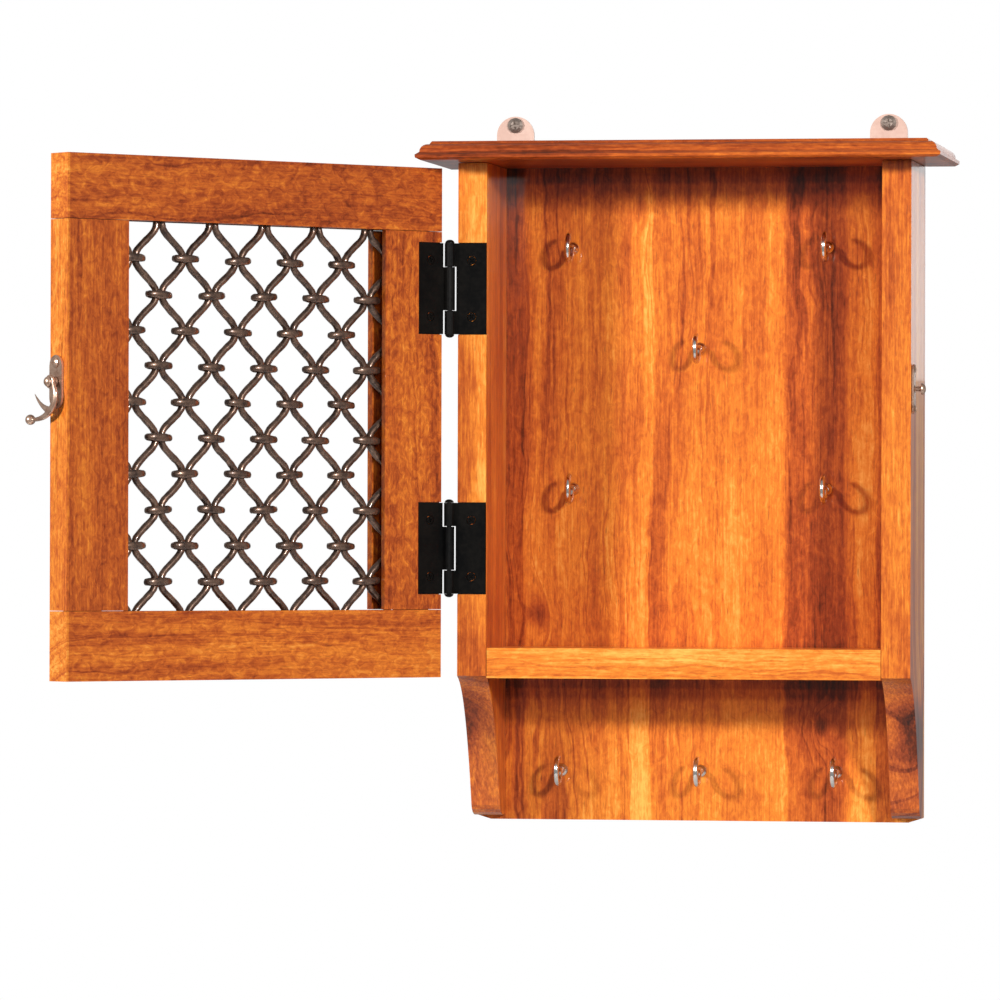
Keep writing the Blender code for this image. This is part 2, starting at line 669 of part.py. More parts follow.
def hook_solid():
    """The swan hook in the plane of the door's edge: outward and up from its pivot, hanging."""
    def placed(points):
        return [Vector((0, -out * MM, up * MM)) for out, up in points]

    solid = wire(placed(HOOK_NECK), HOOK_BAR, HOOK_NECK_WIDTHS, resolution=2)
    solid = join(solid, wire(placed(HOOK_BEAK), HOOK_BAR, HOOK_BEAK_WIDTHS, resolution=2))
    solid.data.transform(Matrix.Diagonal((HOOK_FLATNESS, 1, 1, 1)))
    eye = rod((0, 0, 0), (1, 0, 0), HOOK_EYE_RADIUS, HOOK_EYE_THICK)
    solid = join(solid, eye, ball((0, -HOOK_BALL[0], HOOK_BALL[1]), HOOK_BALL_RADIUS))
    solid = cut(solid, rod((0, 0, 0), (1, 0, 0), PIVOT_RADIUS + GAP, 4 * HOOK_EYE_THICK, sides=12))
    solid.data.transform(Matrix.Translation((HOOK_OFFSET, 0, 0)))
    return solid


def build_latch(axis_empty):
    edge_x = door_extent()[3]
    pivot_y = door_y(LATCH_DEPTH)
    width, height, thick = LATCH_PLATE
    frame = edge_frame(edge_x + GAP + thick / 2, pivot_y, LATCH_Z)
    name_part(backing_plate(width, height, thick, frame, LATCH_SCREW_Z, LATCH_PLATE_HOLE), "latch_plate", axis_empty)
    face = edge_x + GAP + thick
    head = [(0, 8.4), (1.4, 8.2), (2.4, 7.5), (2.8, 6.5), (1.5, 6.5), (1.5, 3.5), (2.8, 3.5), (2.8, 1.8), (0, 1.8)]
    profile = [(radius * MM, height_up * MM) for radius, height_up in head]
    name_part(turned(profile, facing((edge_x, pivot_y, LATCH_Z), (1, 0, 0))), "latch_pivot", axis_empty)
    for side, word in ((1, "top"), (-1, "bottom")):
        seat = (face + PLATE_SCREW_STAND, pivot_y, LATCH_Z + side * LATCH_SCREW_Z)
        name_part(screw_solid(seat, (1, 0, 0), *LATCH_SCREW, False, (90,)),
                  f"latch_screw_{word}", axis_empty)
    pivot = bpy.data.objects.new("latch_axis", None)
    PARTS.objects.link(pivot)
    pivot.parent = axis_empty
    pivot.location = (edge_x, pivot_y, LATCH_Z)
    name_part(hook_solid(), "latch_hook", pivot)


def build_catch():
    width, height, thick = CATCH_PLATE
    frame = edge_frame(SIDE_X + GAP + thick / 2, PEG_Y, LATCH_Z)
    name_part(backing_plate(width, height, thick, frame, CATCH_SCREW_Z, CATCH_PLATE_HOLE), "catch_plate")
    face = GAP + thick
    tip = door_extent()[3] + AXIS.x + HOOK_OFFSET + 1.7 * MM - SIDE_X
    head = [(0, tip + 2.2 * MM), (1.9 * MM, tip + 1.9 * MM), (3.3 * MM, tip + 1.0 * MM), (3.3 * MM, tip),
            (PEG_RADIUS, tip), (PEG_RADIUS, face + GAP), (0, face + GAP)]
    name_part(turned(head, facing((SIDE_X, PEG_Y, LATCH_Z), (1, 0, 0))), "catch_peg")
    for side, word in ((1, "top"), (-1, "bottom")):
        seat = (SIDE_X + face + PLATE_SCREW_STAND, PEG_Y, LATCH_Z + side * CATCH_SCREW_Z)
        name_part(screw_solid(seat, (1, 0, 0), *CATCH_SCREW, False, (90,)),
                  f"catch_screw_{word}")


# ---------------------------------------------------------------- cup hooks and hanging tabs

def build_cup_hooks():
    stand = RING_RADIUS + RING_WIRE + COLLAR_STAND + COLLAR_THICK
    for name, x, z in CUP_HOOKS:
        centre_y = PANEL_Y - GAP - stand
        points = []
        for index in range(RING_STEPS + 1):
            angle = math.pi + RING_SWEEP * index / RING_STEPS
            out, up = RING_RADIUS * math.cos(angle), RING_RADIUS * math.sin(angle)
            points.append(Vector((x, centre_y - out, z + up)))
        ring = wire(points, RING_WIRE, resolution=1)
        collar_y = PANEL_Y - GAP - COLLAR_THICK / 2
        collar = rod((x, collar_y, z), (0, 1, 0), COLLAR_RADIUS, COLLAR_THICK, sides=12)
        shank_end = PANEL_Y + THREAD_LENGTH
        ring_back = centre_y + RING_RADIUS
        shank = rod((x, (ring_back + collar_y) / 2, z), (0, 1, 0), RING_WIRE * 1.05, collar_y - ring_back + MM,
                    sides=8)
        thread = rod((x, (collar_y + shank_end) / 2, z), (0, 1, 0), THREAD_RADIUS, shank_end - collar_y, sides=8)
        name_part(join(ring, shank, collar, thread), name)


def tab_outline(x, grow):
    """Disc on top, straight flanks and a rounded lower end."""
    radius = TAB_RADIUS + grow
    low = TAB_CENTRE_Z - TAB_TAIL + TAB_RADIUS
    points = arc((x, TAB_CENTRE_Z), radius, 0, 180, 24) + arc((x, low), radius, 180, 360, 10)
    return [(p.x, p.y) for p in points]


def tab_matrix(thickness):
    return Matrix(((1, 0, 0, 0), (0, 0, -1, -thickness / 2), (0, 1, 0, 0), (0, 0, 0, 1)))


def tab_recess(x):
    """The pocket that a tab lies in, open at the wall side."""
    depth = TAB_THICK + GAP
    return plate(tab_outline(x, GAP), 2 * depth, Matrix.Translation((0, depth, 0)) @ tab_matrix(2 * depth))


def build_tabs():
    for word, x in TAB_X.items():
        solid = plate(tab_outline(x, 0), TAB_THICK, tab_matrix(TAB_THICK))
        hole = rod((x, 0, TAB_SCREW_Z), (0, 1, 0), TAB_HOLE, 10 * MM, sides=12)
        name_part(cut(solid, hole), f"hanging_tab_{word}")
        seat = (x, -TAB_THICK - GAP, TAB_SCREW_Z)
        name_part(screw_solid(seat, (0, -1, 0), TAB_SCREW_HEAD, 2.4 * MM, 2.0 * MM, TAB_THICK + 0.2 * MM,
                              False, (10, 100)), f"wall_screw_{word}")


AXIS = Vector((-SIDE_X - HINGE_AXIS_OUT, FRONT_Y - DOOR_GAP / 2, 0))
PEG_Y = FRONT_Y - DOOR_GAP - LATCH_DEPTH + PEG_REACH
TAB_SCREW_Z = TAB_CENTRE_Z + TAB_SCREW_RISE
PARTS = bpy.data.collections.new("key_cabinet")


def build():
    clear_scene()
    bpy.context.scene.collection.children.link(PARTS)
    door_axis = bpy.data.objects.new("door_axis", None)
    PARTS.objects.link(door_axis)
    door_axis.location = AXIS
    door_axis.rotation_euler = (0, 0, -DOOR_OPEN)
    build_top_board()
    build_sides()
    build_back_panel()
    build_shelf()
    build_door_frame(door_axis)
    build_lattice(door_axis)
    build_hinges(door_axis)
    build_latch(door_axis)
    build_catch()
    build_cup_hooks()
    build_tabs()
    bpy.context.view_layer.update()


build()
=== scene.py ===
"""Looks, light and camera for the wall key cabinet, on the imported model's frame."""
import json
import math
import random

import bmesh
import bpy
from mathutils import Matrix, Vector


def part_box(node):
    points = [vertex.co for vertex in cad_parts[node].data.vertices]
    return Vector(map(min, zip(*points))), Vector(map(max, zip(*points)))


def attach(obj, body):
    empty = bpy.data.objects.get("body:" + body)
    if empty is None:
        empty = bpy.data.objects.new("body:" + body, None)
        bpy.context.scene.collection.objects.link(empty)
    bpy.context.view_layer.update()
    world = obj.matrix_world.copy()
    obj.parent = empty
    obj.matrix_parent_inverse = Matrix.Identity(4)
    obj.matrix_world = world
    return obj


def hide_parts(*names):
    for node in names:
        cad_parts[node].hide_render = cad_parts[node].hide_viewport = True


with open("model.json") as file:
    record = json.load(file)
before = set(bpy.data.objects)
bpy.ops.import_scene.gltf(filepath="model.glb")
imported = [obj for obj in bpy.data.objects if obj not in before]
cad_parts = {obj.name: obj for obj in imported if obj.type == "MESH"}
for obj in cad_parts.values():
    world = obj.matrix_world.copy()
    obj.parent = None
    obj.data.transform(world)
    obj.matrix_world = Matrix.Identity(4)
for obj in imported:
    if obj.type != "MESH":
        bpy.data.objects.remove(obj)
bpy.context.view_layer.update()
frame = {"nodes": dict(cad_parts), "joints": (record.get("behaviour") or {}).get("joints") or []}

MM = 0.001

# Sizes that follow the CAD model
OPEN_ANGLE = math.radians(132.5)    # the door's angle from closed, as in the photo
SIDE_X = 125 * MM
PANEL_Y = -6 * MM
DOOR_FACE = 1.4 * MM                # door's inner face from the hinge axis
OPENING_FREE = 213.6 * MM           # the opening's free side from the hinge axis
OPENING_TOP = 143.8 * MM
OPENING_BOTTOM = -63.6 * MM
DOOR_EDGE = 252.9 * MM              # door's free edge from the hinge axis
LATTICE_DEPTH = 7.5 * MM            # lattice's middle plane, behind the door's inner face
COLUMN_PITCH = 17.35 * MM
FIRST_COLUMN = 7.3 * MM             # from the opening's free side
ROW_PITCH = 19.15 * MM
FIRST_ROW_DROP = 0.3 * MM           # from the opening's top
ROWS = 11
WIRES = 11
WIRE_RADIUS = 1.95 * MM
WIRE_CLEAR = 2.0 * MM               # a wire's middle line from the column where two wires meet
WIRE_END = 10.8 * MM                # how far a wire runs on past the opening, in the groove
CLIP_HALF = 8.0 * MM                # half a clip's width, and of its depth across the lattice
CLIP_HALF_DEPTH = 3.0 * MM
LATCH_Z = 57.5 * MM
LATCH_DEPTH = 9 * MM                # pivot's place behind the door's inner face
HOOK_OFFSET = 5 * MM                # hook's middle plane from the door's free edge
PEG_Y = -65 * MM
RING_RADIUS = 7.3 * MM
RING_WIRE = 1.5 * MM
RING_REACH = 13.6 * MM              # ring's centre from the hook's foot
RING_SWEEP = math.radians(272)
FOOT_GAP = 0.3 * MM                 # a cup hook's foot from the panel

# Turned shapes as (radius, height) in mm, from the top down the outside
PIN_CAP = ((0, 1.9), (1.1, 1.75), (2.0, 1.25), (2.5, 0.5), (2.5, 0.05), (1.25, 0.0))
STUD = ((0, 8.4), (1.1, 8.25), (1.9, 7.8), (2.5, 7.1), (2.8, 6.45), (2.7, 6.3), (1.2, 6.2), (1.2, 3.6),
        (2.7, 3.4), (2.7, 1.8), (0, 1.8))
PEG = ((0, 7.4), (1.3, 7.25), (2.4, 6.75), (3.1, 5.9), (3.3, 5.2), (2.9, 5.0), (1.5, 4.7), (1.3, 4.2),
       (1.3, 1.9), (2.2, 1.35), (0, 1.35))
COLLAR = ((0, 3.4), (1.6, 3.3), (1.9, 2.5), (2.4, 1.9), (3.3, 1.3), (3.6, 0.7), (3.45, 0.1), (0, 0.1))

# The swan hook, in mm: points as (outward, up) from its pivot, and the bar's half width at each
NECK = ((0.9, 2.9), (-1.4, 2.4), (-2.9, -1.4), (-4.35, -5.8), (-4.0, -10.6), (-0.8, -14.9), (4.2, -17.9),
        (9.6, -19.4), (14.2, -19.9), (17.0, -20.0))
NECK_WIDTHS = (0.7, 0.9, 1.4, 1.9, 1.95, 2.0, 1.75, 1.35, 1.15, 1.1)
NECK_FLATNESS = 0.72
BEAK = ((0.6, -15.0), (4.4, -13.9), (8.2, -11.9), (11.6, -9.1), (14.2, -6.3))
BEAK_WIDTHS = (1.9, 1.6, 1.1, 0.7, 0.3)
BEAK_FLATNESS = 0.8
EYE_RADIUS = 2.75
EYE_WIRE = 1.1
EYE_FLATNESS = 0.88
BALL = (18.2, -19.9)
BALL_RADIUS = 2.8

AXIS = Vector(next(joint for joint in frame["joints"] if joint["name"] == "door_hinge")["pos_m"])
DOOR = Matrix.Translation((AXIS.x, AXIS.y, 0)) @ Matrix.Rotation(-OPEN_ANGLE, 4, "Z")
DOOR_ALONG = DOOR.to_3x3() @ Vector((1, 0, 0))
DOOR_OUT = DOOR.to_3x3() @ Vector((0, -1, 0))
UP = Vector((0, 0, 1))

CAMERA_PLACE = (0.5312, -3.8349, -0.0266)
CAMERA_TURN = (90.348, -0.159, 9.541)           # degrees
CAMERA_LENS = 250.3

LIGHT_TARGET = (-0.08, -0.03, 0.0)
LIGHTS = (                                      # name, place, size, power
    ("key_left", (-1.30, -1.30, 0.45), (0.17, 0.17), 27.0),
    ("key_right", (1.15, -1.60, 0.52), (0.17, 0.17), 28.5),
    ("front_fill", (0.75, -2.5, 0.40), (0.9, 0.25), 9.0),
    ("rear_soft", (0.2, 2.4, 0.7), (1.8, 1.2), 6.5),
)
WORLD_BACKDROP = 1.0                            # world's level for the camera's rays
WORLD_FILL = 0.05                               # and for all others
WORLD_SHINE = 0.25                              # added for reflections
FLOOR_RADIUS = 0.7
FLOOR_Z = -0.42


# ---------------------------------------------------------------- shader helpers

class Shade:
    """A material with short calls for its nodes."""

    def __init__(self, name):
        self.material = bpy.data.materials.new(name)
        self.material.use_nodes = True
        self.tree = self.material.node_tree
        self.shader = self.tree.nodes["Principled BSDF"]

    def feed(self, socket, value):
        if isinstance(value, bpy.types.NodeSocket):
            self.tree.links.new(value, socket)
        elif value is not None:
            socket.default_value = value

    def node(self, kind, inputs=None, **settings):
        node = self.tree.nodes.new(kind)
        for key, value in settings.items():
            setattr(node, key, value)
        for key, value in (inputs or {}).items():
            self.feed(node.inputs[key], value)
        return node

    def math(self, operation, first, second=None, third=None, clamp=False):
        inputs = {0: first}
        if second is not None:
            inputs[1] = second
        if third is not None:
            inputs[2] = third
        return self.node("ShaderNodeMath", inputs, operation=operation, use_clamp=clamp).outputs[0]

    def total(self, *values):
        result = values[0]
        for value in values[1:]:
            result = self.math("ADD", result, value)
        return result

    def swing(self, value, amount):
        """A value from 0 to 1 as a change of this amount, centred on zero."""
        return self.math("MULTIPLY_ADD", value, amount, -0.5 * amount)

    def dot(self, vector, axis):
        node = self.node("ShaderNodeVectorMath", {0: vector, 1: tuple(axis)}, operation="DOT_PRODUCT")
        return node.outputs["Value"]

    def vector(self, x, y, z):
        return self.node("ShaderNodeCombineXYZ", {0: x, 1: y, 2: z}).outputs[0]

    def scaled(self, place, factors, shift):
        """A place with its coordinates stretched one by one, and moved so that each noise is its own."""
        offset = (shift, 1.7 * shift, 0.6 * shift)
        inputs = {0: place, 1: factors, 2: offset}
        return self.node("ShaderNodeVectorMath", inputs, operation="MULTIPLY_ADD").outputs[0]

    def noise(self, place, scale=1.0, detail=2.0, roughness=0.5, distortion=0.0):
        inputs = {"Vector": place, "Scale": scale, "Detail": detail, "Roughness": roughness,
                  "Distortion": distortion}
        return self.node("ShaderNodeTexNoise", inputs).outputs["Fac"]

    def remap(self, value, low, high, to_low=0.0, to_high=1.0):
        return self.node("ShaderNodeMapRange", {"Value": value, "From Min": low, "From Max": high,
                                                "To Min": to_low, "To Max": to_high},
                         interpolation_type="SMOOTHSTEP").outputs["Result"]

    def ramp(self, factor, stops):
        node = self.node("ShaderNodeValToRGB", {"Fac": factor})
        elements = node.color_ramp.elements
        while len(elements) < len(stops):
            elements.new(0.5)
        for element, (position, colour) in zip(elements, stops):
            element.position = position
            element.color = (*colour, 1.0)
        return node.outputs["Color"]

    def mix(self, factor, first, second):
        node = self.node("ShaderNodeMix", data_type="RGBA")
        self.feed(node.inputs[0], factor)
        for socket, value in ((node.inputs[6], first), (node.inputs[7], second)):
            self.feed(socket, (*value, 1.0) if isinstance(value, tuple) and len(value) == 3 else value)
        return node.outputs[2]

    def bump(self, height, strength, distance):
        return self.node("ShaderNodeBump", {"Height": height, "Strength": strength,
                                            "Distance": distance}).outputs["Normal"]

    def finish(self, **sockets):
        for name, value in sockets.items():
            self.feed(self.shader.inputs[name.replace("_", " ")], value)
        return self.material


# ---------------------------------------------------------------- wood, metals and paints

WOOD_TONES = (
    (0.00, (0.030, 0.005, 0.001)),
    (0.22, (0.125, 0.018, 0.002)),
    (0.42, (0.330, 0.053, 0.009)),
    (0.60, (0.560, 0.117, 0.015)),
    (0.78, (0.800, 0.228, 0.024)),
    (1.00, (0.980, 0.450, 0.085)),
)
WOOD_PORE = (0.07, 0.016, 0.006)

# Noises in the wood: stretch along, across and through the grain, seed's shift, detail, roughness, distortion
WOOD_NOISES = {
    "wander": ((9, 22, 22), 0, 3.0, 0.55, 0.0),
    "sway": ((45, 70, 70), 3, 2.0, 0.5, 0.0),
    "broad": ((7, 26, 26), 11, 2.0, 0.5, 0.0),
    "curl": ((170, 270, 270), 17, 5.0, 0.68, 0.9),
    "fleck": ((120, 780, 780), 19, 3.0, 0.6, 0.3),
    "fibre": ((22, 950, 950), 23, 3.0, 0.6, 0.0),
    "pore": ((130, 1500, 1500), 31, 1.0, 0.5, 0.0),
}


def knot_marks(s, g, bent, knots):
    """How dark the knots' cores are at a spot, and how far the knots push the rings out there."""
    dark, swell = 0.0, 0.0
    for along, across, radius, strength in knots:
        radius *= MM
        near_g = s.math("MULTIPLY", s.math("SUBTRACT", g, along * MM), 0.55 / radius)
        near_a = s.math("MULTIPLY", s.math("SUBTRACT", bent, across * MM), 1.0 / radius)
        reach = s.math("ADD", s.math("MULTIPLY", near_g, near_g), s.math("MULTIPLY", near_a, near_a))
        core = s.math("POWER", 0.5, s.math("MULTIPLY", reach, 5.0))
        dark = s.math("MULTIPLY_ADD", core, strength, dark)
        swell = s.math("MULTIPLY_ADD", s.math("POWER", 0.5, reach), 1.3 * radius, swell)
    return dark, swell


def streaks(s, line, places):
    """How much darker the stripes at some places on a line make a spot: darker wood streaks, painted shade,
    and painted light where a strength is negative.
    """
    dark = 0.0
    for centre, half, strength in places:
        apart = s.math("ABSOLUTE", s.math("SUBTRACT", line, centre * MM))
        dark = s.math("ADD", s.remap(apart, 0.8 * half * MM, 1.12 * half * MM, strength, 0.0), dark)
    return dark


def wood(name, along, across, seed, tone=0.6, contrast=1.0, pith=(-60, 25), ring=95.0, figure=0.22, grit=0.5,
         bands=(), knots=(), ends=()):
    """Varnished rosewood: rings about a pith line, slow tone changes, curl, fibres and pores.

    along is the grain's direction, across the other one in the board's face, and pith the rings' centre,
    (across, through). tone and contrast set the rings, figure the curl and grit the fine fibres. bands are
    stripes along the grain and ends stripes across it, each (place, half width, strength): darker wood streaks,
    painted shade, and painted light where the strength is negative. knots are (along, across, radius,
    strength).
    Places and sizes are in mm.
    """
    s = Shade(name)
    place = s.node("ShaderNodeTexCoord").outputs["Object"]
    along, across = Vector(along).normalized(), Vector(across).normalized()
    g, a, n = s.dot(place, along), s.dot(place, across), s.dot(place, along.cross(across))
    grain = s.vector(g, a, n)

    def layer(kind):
        stretch, shift, detail, roughness, distortion = WOOD_NOISES[kind]
        return s.noise(s.scaled(grain, stretch, seed + shift), 1.0, detail, roughness, distortion)

    drift = s.math("ADD", s.swing(layer("wander"), 26 * MM), s.swing(layer("sway"), 3 * MM))
    bent = s.math("ADD", a, drift)
    cores, swell = knot_marks(s, g, bent, knots)

    off_a = s.math("SUBTRACT", bent, pith[0] * MM)
    off_n = s.math("SUBTRACT", n, pith[1] * MM)
    radial = s.math("SQRT", s.math("ADD", s.math("MULTIPLY", off_a, off_a), s.math("MULTIPLY", off_n, off_n)))
    radial = s.math("ADD", radial, swell)
    slow_g, quick_g = s.math("MULTIPLY_ADD", g, 2.2, seed), s.math("MULTIPLY_ADD", g, 5.0, seed + 7)
    ring_place = s.vector(s.math("MULTIPLY", radial, ring), slow_g, 0.3)
    rings = s.noise(ring_place, detail=3.0, roughness=0.62)
    vein_place = s.vector(s.math("MULTIPLY", radial, 3.4 * ring), quick_g, 0.9)
    veins = s.remap(s.noise(vein_place, detail=2.0, roughness=0.6), 0.56, 0.66)
    curl, fibre = layer("curl"), layer("fibre")
    pores = s.remap(layer("pore"), 0.66, 0.78)

    light = s.total(tone, s.swing(rings, 1.05 * contrast), s.swing(layer("broad"), 0.65 * contrast),
                    s.swing(curl, figure), s.swing(layer("fleck"), grit), s.swing(fibre, 0.8 * grit))
    band_line = s.math("MULTIPLY_ADD", drift, 0.3, a)
    # Besides veins and knot cores, the stripes add darker wood streaks, painted shade and painted light
    dark = s.total(s.math("MULTIPLY", veins, 0.17 * contrast), streaks(s, band_line, bands),
                   streaks(s, g, ends), cores)
    colour = s.ramp(s.math("SUBTRACT", light, dark, clamp=True), WOOD_TONES)
    relief = s.math("ADD", s.math("MULTIPLY", fibre, 0.5), s.math("MULTIPLY", curl, 0.6))
    relief = s.math("SUBTRACT", relief, s.math("MULTIPLY", pores, 0.9))
    return s.finish(
        Base_Color=s.mix(s.math("MULTIPLY", pores, 0.45), colour, WOOD_PORE),
        Roughness=s.math("MULTIPLY_ADD", curl, 0.22, 0.22), IOR=1.5, Specular_IOR_Level=0.2,
        Coat_Weight=0.4, Coat_Roughness=0.05, Coat_IOR=1.5, Normal=s.bump(relief, 0.16, 0.25 * MM))


def metal(name, light, dark, roughness, spread, grit, relief, metallic=1.0, blotch=120.0, coat=0.0):
    """A worn metal: two tones in soft blotches, rougher by spread where dark, with fine grit."""
    s = Shade(name)
    place = s.node("ShaderNodeTexCoord").outputs["Object"]
    patches = s.noise(place, blotch, detail=4.0, roughness=0.6)
    fine = s.noise(place, grit, detail=3.0, roughness=0.55)
    worn = s.remap(s.math("MULTIPLY_ADD", fine, 0.35, s.math("MULTIPLY", patches, 0.75)), 0.36, 0.74)
    return s.finish(
        Base_Color=s.mix(worn, dark, light), Metallic=metallic,
        Roughness=s.math("MULTIPLY_ADD", s.math("SUBTRACT", 1.0, worn), spread, roughness),
        Coat_Weight=coat, Coat_Roughness=0.12,
        Normal=s.bump(s.math("MULTIPLY_ADD", patches, 0.6, s.math("MULTIPLY", fine, 0.4)), relief, 0.3 * MM))


def painted(name, light, dark, roughness, relief, coat=0.3, specular=0.5):
    """A paint or lacquer with a slightly uneven skin and worn spots."""
    s = Shade(name)
    place = s.node("ShaderNodeTexCoord").outputs["Object"]
    skin = s.noise(place, 420.0, detail=3.0, roughness=0.6)
    cloud = s.noise(place, 60.0, detail=2.0)
    tone = s.remap(s.math("MULTIPLY_ADD", skin, 0.4, s.math("MULTIPLY", cloud, 0.6)), 0.35, 0.65)
    return s.finish(
        Base_Color=s.mix(tone, dark, light), Roughness=s.math("MULTIPLY_ADD", skin, 0.16, roughness),
        Specular_IOR_Level=specular, Coat_Weight=coat, Coat_Roughness=0.15,
        Normal=s.bump(skin, relief, 0.2 * MM))


def browned_iron():
    return metal("browned_iron", (0.26, 0.155, 0.105), (0.040, 0.022, 0.016), 0.24, 0.22, grit=1100,
                 relief=0.4, metallic=0.7, blotch=240, coat=0.6)


def antique_plate():
    return metal("antique_plate", (0.80, 0.56, 0.42), (0.34, 0.19, 0.13), 0.22, 0.20, grit=1800, relief=0.10,
                 metallic=0.85, blotch=220)


def bright_nickel():
    return metal("bright_nickel", (0.83, 0.80, 0.75), (0.60, 0.56, 0.50), 0.12, 0.14, grit=2200, relief=0.03,
                 blotch=160)


def dull_zinc():
    return metal("dull_zinc", (0.42, 0.34, 0.29), (0.20, 0.155, 0.13), 0.38, 0.20, grit=1500, relief=0.2,
                 metallic=0.8)


def black_lacquer():
    return painted("black_lacquer", (0.008, 0.007, 0.006), (0.003, 0.003, 0.003), 0.24, 0.05, coat=0.0,
                   specular=0.08)


def tab_enamel():
    return painted("tab_enamel", (0.72, 0.50, 0.41), (0.64, 0.42, 0.34), 0.35, 0.05)


# ---------------------------------------------------------------- mesh helpers

def piece(name, shape, material, body, replaced, smooth=35):
    """Links a finished mesh as a piece that rides on a body and stands for CAD nodes."""
    mesh = bpy.data.meshes.new(name)
    bmesh.ops.recalc_face_normals(shape, faces=shape.faces)
    shape.to_mesh(mesh)
    shape.free()
    mesh.materials.append(material)
    mesh.polygons.foreach_set("use_smooth", [True] * len(mesh.polygons))
    mesh.set_sharp_from_angle(angle=math.radians(smooth))
    obj = bpy.data.objects.new(name, mesh)
    bpy.context.scene.collection.objects.link(obj)
    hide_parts(*replaced)
    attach(obj, body)
    return obj


def bridge(shape, rings, closed):
    """Faces between each ring of corners and the next."""
    pairs = list(zip(rings, rings[1:]))
    if closed:
        pairs.append((rings[-1], rings[0]))
    for first, second in pairs:
        count = len(first)
        for index in range(count):
            following = (index + 1) % count
            shape.faces.new((first[index], first[following], second[following], second[index]))


def turn(steps):
    """The angles of a full turn in equal steps."""
    return [2 * math.pi * step / steps for step in range(steps)]


def in_metres(profile):
    return [(radius * MM, height * MM) for radius, height in profile]


def ellipse(shape, centre, side, other, steps):
    """Corners round an ellipse with these two half axes."""
    places = [centre + side * math.cos(angle) + other * math.sin(angle) for angle in turn(steps)]
    return [shape.verts.new(place) for place in places]


def sweep(shape, path, radii, sides=12, squash=1.0, side_axis=None, closed=False):
    """A bar along a path, closed or with round ends. squash flattens it along side_axis, across the path."""
    path = [Vector(point) for point in path]
    last = len(path) - 1
    round_end = [(math.cos(part * math.pi / 2), math.sin(part * math.pi / 2)) for part in (0.28, 0.62)]
    rings = []
    side = None
    for index, (point, radius) in enumerate(zip(path, radii)):
        if closed:
            heading = path[(index + 1) % len(path)] - path[index - 1]
        else:
            heading = path[min(index + 1, last)] - path[max(index - 1, 0)]
        heading.normalize()
        if side_axis is not None:
            side = side_axis
        elif side is None:
            side = heading.orthogonal()
        side = (side - heading * side.dot(heading)).normalized()
        other = heading.cross(side)
        spots = [(0, 1)]
        if index == 0 and not closed:
            spots = [(-along, wide) for along, wide in round_end] + spots
        elif index == last and not closed:
            spots = spots + round_end[::-1]
        for along, wide in spots:
            rings.append(ellipse(shape, point + heading * along * radius, side * squash * wide * radius,
                                 other * wide * radius, sides))
    bridge(shape, rings, closed)
    if not closed:
        shape.faces.new(rings[0])
        shape.faces.new(reversed(rings[-1]))


def lathe(shape, profile, matrix, steps=32):
    """A turned body: (radius, height) points from the top down the outside, both ends on the axis."""
    rings = []
    for radius, height in profile:
        angles = turn(steps) if radius else [0]
        places = [Vector((radius * math.cos(angle), radius * math.sin(angle), height)) for angle in angles]
        rings.append([shape.verts.new(matrix @ place) for place in places])
    for upper, lower in zip(rings, rings[1:]):
        for step in range(steps):
            following = (step + 1) % steps
            corners = []
            for corner in (upper[step % len(upper)], upper[following % len(upper)],
                           lower[following % len(lower)], lower[step % len(lower)]):
                if corner not in corners:
                    corners.append(corner)
            shape.faces.new(corners)


def facing(origin, axis):
    """A place at origin whose Z points along axis."""
    return Matrix.Translation(Vector(origin)) @ UP.rotation_difference(Vector(axis)).to_matrix().to_4x4()


def smooth_path(points, steps):
    """A Catmull-Rom curve through points."""
    points = [Vector(point) for point in points]
    padded = [2 * points[0] - points[1]] + points + [2 * points[-1] - points[-2]]
    result = []
    for index in range(1, len(padded) - 2):
        before, first, second, after = padded[index - 1:index + 3]
        for step in range(steps):
            t = step / steps
            result.append(0.5 * (2 * first + (second - before) * t
                                 + (2 * before - 5 * first + 4 * second - after) * t * t
                                 + (3 * first - before - 3 * second + after) * t ** 3))
    result.append(points[-1])
    return result


def dress(node, material, width, segments=2, angle=38):
    """A CAD node that stays: its material, and modifiers meant to soften its edges.

    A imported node's triangles share no corners, so the bevel finds no edge to round, and the edges stay sharp.
    """
    obj = frame["nodes"][node]
    for material_slot in obj.material_slots:
        material_slot.material = material
    flat = obj.modifiers.new("flats", "DECIMATE")
    flat.decimate_type = "DISSOLVE"
    flat.angle_limit = math.radians(1.5)
    edge = obj.modifiers.new("edge", "BEVEL")
    edge.width = width
    edge.segments = segments
    edge.limit_method = "ANGLE"
    edge.angle_limit = math.radians(angle)
    edge.harden_normals = True
    edge.miter_outer = "MITER_ARC"
    obj.data.polygons.foreach_set("use_smooth", [True] * len(obj.data.polygons))


# ---------------------------------------------------------------- boards

